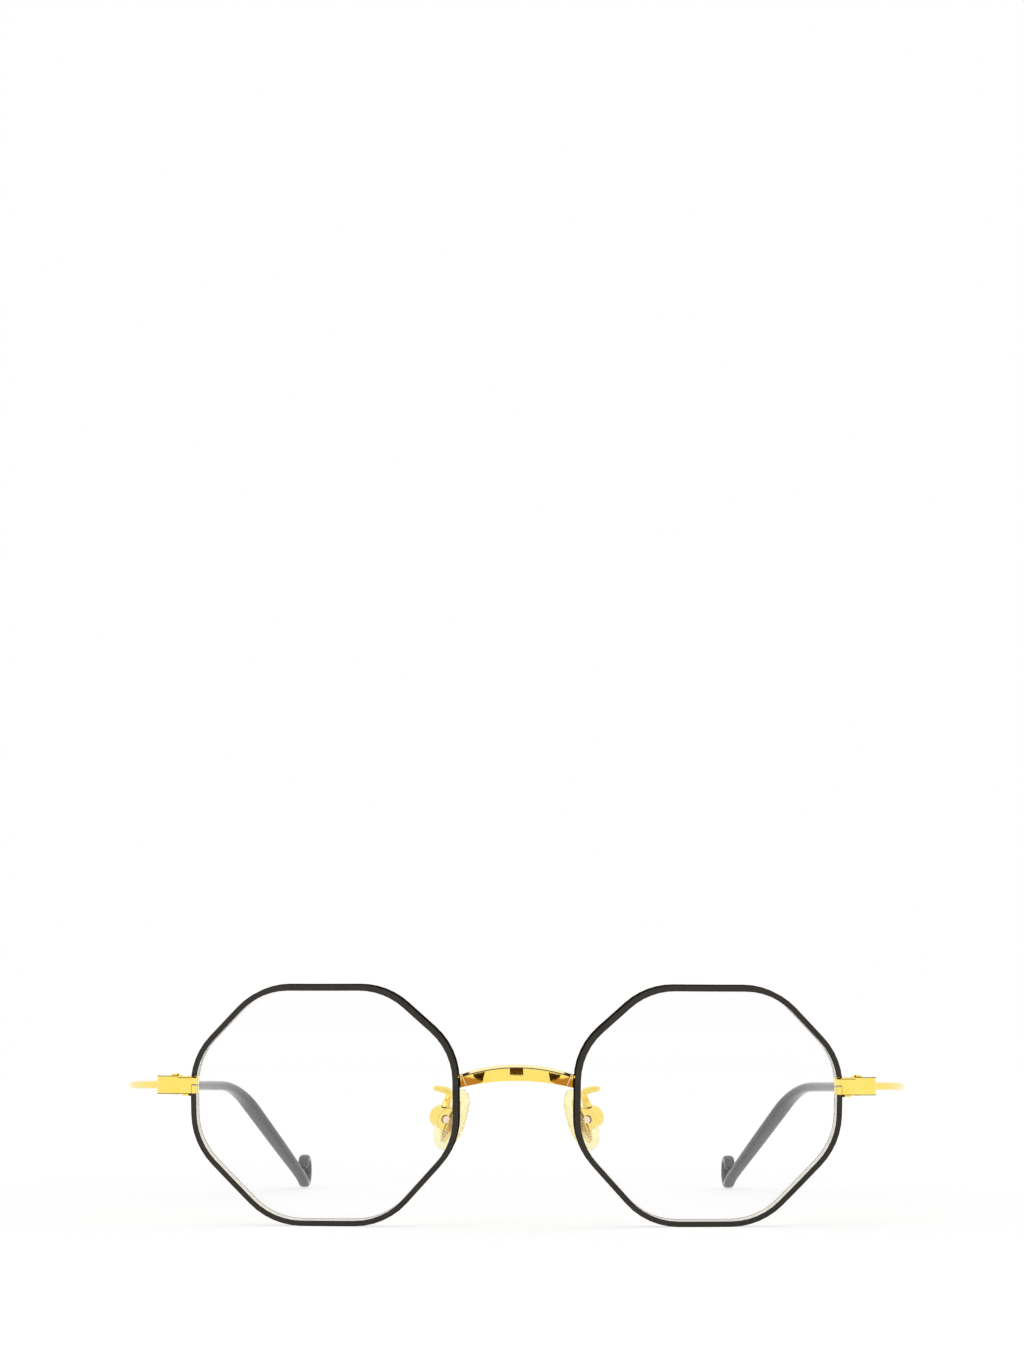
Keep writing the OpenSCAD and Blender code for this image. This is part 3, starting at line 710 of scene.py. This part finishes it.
def nose_pad(side):
    """A moulded pad: domed towards the nose, and dished with a lip at the back."""
    bm = bmesh.new()
    shares = [math.sin(math.pi / 2 * k / PAD_RINGS) for k in range(1, PAD_RINGS + 1)]
    loops = [(share, -1) for share in shares] + [(share, 1) for share in reversed(shares[:-1])]
    rings = [[bm.verts.new(pad_point(i, share, face)) for i in range(PAD_SPOKES)] for share, face in loops]
    front = bm.verts.new(pad_point(0, 0, -1))
    back = bm.verts.new(pad_point(0, 0, 1))
    for i in range(PAD_SPOKES):
        j = (i + 1) % PAD_SPOKES
        bm.faces.new((front, rings[0][i], rings[0][j]))
        bm.faces.new((back, rings[-1][j], rings[-1][i]))
        for a, b in zip(rings, rings[1:]):
            bm.faces.new((a[i], b[i], b[j], a[j]))
    bm.transform(pad_place(side))
    bmesh.ops.recalc_face_normals(bm, faces=bm.faces[:])
    finer(piece(side + "_soft_pad", bm, side + "_nose_pad", "pad"), 2)


def knurls(side):
    """Small pyramids pressed in rows on the plate's back."""
    bm = bmesh.new()
    rows = int(PLATE_L / KNURL)
    across = int(PLATE_W / KNURL)
    for i in range(-rows // 2, rows // 2 + 1):
        for j in range(-across // 2, across // 2 + 1):
            z = i * KNURL
            y = (j + 0.5 * (i % 2)) * KNURL
            if abs(z) / PLATE_L + abs(y) / PLATE_W > 0.5:
                continue
            foot = [
                bm.verts.new((PLATE_BACK, y + a * KNURL_FOOT, z + b * KNURL_FOOT))
                for a, b in ((-1, 0), (0, -1), (1, 0), (0, 1))
            ]
            peak = bm.verts.new((PLATE_BACK + KNURL_H, y, z))
            bm.faces.new(foot[::-1])
            for a, b in zip(foot, foot[1:] + foot[:1]):
                bm.faces.new((a, b, peak))
    bm.transform(pad_place(side))
    bmesh.ops.recalc_face_normals(bm, faces=bm.faces[:])
    piece(side + "_pad_plate_knurls", bm, side + "_pad_insert", "insert", "knurl")


def screw_seat(side):
    """A dark brown ring where the pad screw's head sits on its box: painted shade under the head."""
    place = pad_place(side)
    turns = [2 * math.pi * k / SEAT_SPOKES for k in range(SEAT_SPOKES)]
    points = [place @ Vector((SEAT_R * math.cos(t), SEAT_Y, SEAT_R * math.sin(t))) for t in turns]
    up = (place.to_3x3() @ -FORWARD).normalized()
    fine_line(side + "_pad_screw_seat", points, up, SEAT_WIRE, side + "_pad_box", "painted_shade", closed=True)


# All pieces

# How wide the edges are broken, in mm
BLOCKS = {"_end_piece": 0.12, "_closing_block": 0.05, "_pad_box": 0.16}
HINGE_EDGE_MM = 0.06
PAD_SCREW_EDGE_MM = 0.05
PLATE_EDGE_MM = 0.08

# Each part of the hinge and its slot
HINGE = {"_front_hinge": "gold", "_temple_hinge": "gold", "_closing_screw": "screw", "_hinge_screw": "screw"}

# The tips' curls begin here
CURL_Y = 60.5 * MM


def build_side(side):
    """All pieces of one side."""
    rim(side)
    enamel(side)
    for node, width_mm in BLOCKS.items():
        # The blocks' broken edges are painted a darker orange gold, a painted dark reflection along the edges.
        machined(side + node, "gold", width_mm, "gold", "edge_gold")
    edge_lines(side)
    for node, slot in HINGE.items():
        machined(side + node, slot, HINGE_EDGE_MM, "gold")
    machined(side + "_pad_screw", "screw", PAD_SCREW_EDGE_MM)
    machined(side + "_pad_insert", "insert", PLATE_EDGE_MM)
    drawn_wire(side + "_temple_tip", "acetate", tumbled_behind=CURL_Y)
    drawn_wire(side + "_temple", "gold")
    drawn_wire(side + "_pad_arm", "gold")
    keep(side + "_lens", "lens")
    nose_pad(side)
    knurls(side)
    screw_seat(side)


for side in SIDES:
    build_side(side)
bridge()
bridge_seams()


# Surroundings

# How strongly the white tent and the table glow, first as light on the eyeglasses and then as they show
TENT_GLOW = (0.6, 1.0)
TABLE_GLOW = (0.4, 0.79)

# The table's grey near the eyeglasses gives way to white between these distances
TABLE_GREY = (0.83, 0.83, 0.83)
WHITE = (1, 1, 1)
GREY_TO = 0.1
WHITE_FROM = 0.7
TABLE_REACH = 3.0

# The corners of the cards on the table, in mm, with the colour that each glows in
CARD_Z = 1 * MM
MIDDLE_CARD = ((-10.3, -179), (10.3, -179), (9.3, -169.4), (-9.3, -169.4))
MIDDLE_TONE = (0.09, 0.042, 0.008)
DARK_CARD = ((46, -168.5), (63, -162), (60, -159.5), (45.5, -159))
DARK_TONE = (0.04, 0.018, 0.005)
BROWN_CARD = ((50, -160.5), (80, -155), (78, -144), (46, -158.5))
BROWN_TONE = (0.5, 0.25, 0.1)

# Where the lamps point
LAMP_AIM = Vector((0, 0, 0.02))


def glow(tree, lighting, shown):
    """One strength for rays that light things, and another for those that show the background itself.

    These go straight to the camera, or come by way of metal or glass.
    """
    path = tree.nodes.new("ShaderNodeLightPath")
    shows = path.outputs["Is Camera Ray"]
    for ray in ("Is Glossy Ray", "Is Transmission Ray"):
        either = tree.nodes.new("ShaderNodeMath")
        either.operation = "MAXIMUM"
        tree.links.new(shows, either.inputs[0])
        tree.links.new(path.outputs[ray], either.inputs[1])
        shows = either.outputs["Value"]
    strength = tree.nodes.new("ShaderNodeMapRange")
    strength.inputs["To Min"].default_value = lighting
    strength.inputs["To Max"].default_value = shown
    tree.links.new(shows, strength.inputs["Value"])
    return strength.outputs["Result"]


def quad(name, corners, material):
    """A flat four-cornered object."""
    mesh = bpy.data.meshes.new(name)
    mesh.from_pydata(corners, [], [(0, 1, 2, 3)])
    mesh.materials.append(material)
    return placed(name, mesh)


def make_world():
    """A white tent: it shows as white, and lights a little less strongly."""
    world = bpy.data.worlds.new("white_tent")
    bpy.context.scene.world = world
    world.use_nodes = True
    background = world.node_tree.nodes["Background"]
    background.inputs["Color"].default_value = (*WHITE, 1)
    world.node_tree.links.new(glow(world.node_tree, *TENT_GLOW), background.inputs["Strength"])


def make_floor():
    """A white table that keeps the shadows. Far from the lamps it glows a little more, up to white."""
    shader = Shader("table_white")
    shader.set(Base_Color=(0.4, 0.4, 0.399), Roughness=0.9, Specular_IOR_Level=0.0)
    far = shader.add("ShaderNodeVectorMath", operation="LENGTH")
    shader.join(shader.place, far.inputs[0])
    shader.join(shader.ramp(far.outputs["Value"], TABLE_GREY, WHITE, GREY_TO, WHITE_FROM), "Emission Color")
    shader.join(glow(shader.tree, *TABLE_GLOW), "Emission Strength")
    corners = [(x * TABLE_REACH, y * TABLE_REACH, 0) for x, y in ((-1, -1), (1, -1), (1, 1), (-1, 1))]
    table = quad("table", corners, shader.material)


def flag(name, corners, colour, way=1):
    """A studio card on the table, which shows in reflections alone."""
    shader = Shader(name)
    shader.set(Base_Color=(0.0, 0.0, 0.0), Roughness=1.0, Specular_IOR_Level=0.0)
    shader.set(Emission_Color=colour, Emission_Strength=1.0)
    card = quad(name, [(way * x * MM, y * MM, CARD_Z) for x, y in corners], shader.material)
    card.visible_camera = False
    card.visible_diffuse = False
    card.visible_transmission = False
    card.visible_volume_scatter = False
    card.visible_shadow = False


def make_flags():
    """Dark and brown cards before the eyeglasses, which give the bridge its contrast."""
    flag("flag_middle", MIDDLE_CARD, MIDDLE_TONE)
    for name, way in SIDES.items():
        flag("flag_dark_" + name, DARK_CARD, DARK_TONE, way)
        flag("flag_brown_" + name, BROWN_CARD, BROWN_TONE, way)


def lamp(name, place, size, watts):
    """A soft lamp aimed at the eyeglasses, which shows in no reflection."""
    data = bpy.data.lights.new(name, "AREA")
    data.shape = "SQUARE"
    data.size = size
    data.energy = watts
    obj = placed(name, data)
    obj.location = place
    obj.rotation_euler = (LAMP_AIM - Vector(place)).to_track_quat("-Z", "Y").to_euler()
    obj.visible_glossy = False


make_world()
make_floor()
make_flags()
lamp("key", place=(-0.35, -0.55, 0.75), size=0.7, watts=2.2)
lamp("fill", place=(0.5, 0.3, 0.7), size=0.8, watts=1.4)


# Camera

# The photograph's frame, the eyeglasses' middle, the horizon and the focal length, in its own pixels
PHOTO_W = 1024
PHOTO_H = 1368
MIDDLE_PX = 516.7
HORIZON_PX = 1054.4
FOCAL_PX = 2545.0

# Where the camera is, before the bridge and above the table, and how it is rolled
CAMERA_AWAY = 0.4456
CAMERA_Z = 0.0304
CAMERA_ROLL = math.radians(-0.12)

# The camera's own shift, as a share of the picture's height, and the width of its sensor in mm
SHIFT_Y = 0.17
SENSOR_MM = 36.0


def make_camera():
    """The photograph's camera. The horizon's place is shared between a shift and a slight upward tilt."""
    data = bpy.data.cameras.new("camera")
    camera = placed("camera", data)
    data.sensor_fit = "AUTO"
    data.sensor_width = SENSOR_MM
    data.lens = FOCAL_PX / PHOTO_H * SENSOR_MM
    data.shift_x = (PHOTO_W / 2 - MIDDLE_PX) / PHOTO_H
    data.shift_y = SHIFT_Y
    data.clip_start = 0.01
    data.clip_end = 10
    below = HORIZON_PX - PHOTO_H / 2 - SHIFT_Y * PHOTO_H
    tilt = math.atan(below / FOCAL_PX)
    camera.location = (0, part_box("bridge")[0].y - CAMERA_AWAY, CAMERA_Z)
    camera.rotation_euler = (math.pi / 2 + tilt, CAMERA_ROLL, 0)
    bpy.context.scene.camera = camera


make_camera()

bpy.context.scene.view_settings.view_transform = "Standard"
